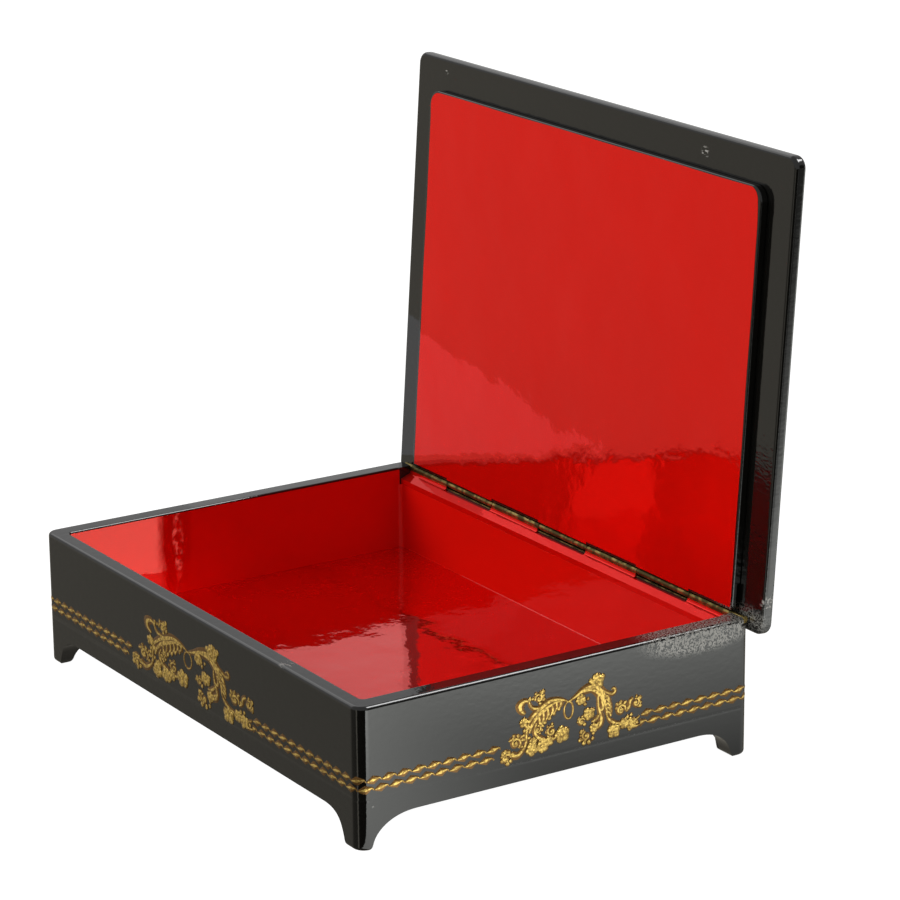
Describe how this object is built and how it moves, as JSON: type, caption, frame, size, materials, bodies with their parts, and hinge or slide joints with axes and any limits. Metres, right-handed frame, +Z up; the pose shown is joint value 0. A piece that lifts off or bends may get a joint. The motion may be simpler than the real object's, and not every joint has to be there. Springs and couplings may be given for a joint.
{
  "type": "hinged lacquer casket",
  "caption": "Footed rectangular lacquer casket with a red interior, gilt stripe decoration and a flat lid on a brass piano hinge, standing open.",
  "frame": {"origin": "bottom centre of the box's outline with the lid open, on the surface that the feet stand on", "axes": "+X along the hinge, from the left end to the right end seen from the front; +Y from the front wall to the hinged back wall; +Z up"},
  "size_m": [0.2108, 0.1565, 0.1889],
  "materials": {
    "black_lacquer": "gloss",
    "red_lacquer": "gloss",
    "hinge_brass": "satin",
    "gold_paint": "satin"
  },
  "bodies": {
    "box": {"case_walls": "black_lacquer", "base_frame": "black_lacquer", "floor_panel": "red_lacquer", "hinge_box_leaf": "hinge_brass", "hinge_pin": "hinge_brass"},
    "lid": {"lid_panel": "black_lacquer", "lid_plug": "red_lacquer", "hinge_lid_leaf": "hinge_brass"}
  },
  "joints": [
    {"name": "lid_hinge", "type": "hinge", "parent": "box", "child": "lid", "pos_m": [0, 0.06263, 0.0438], "axis": [1, 0, 0], "range_deg": [0, 94]}
  ]
}
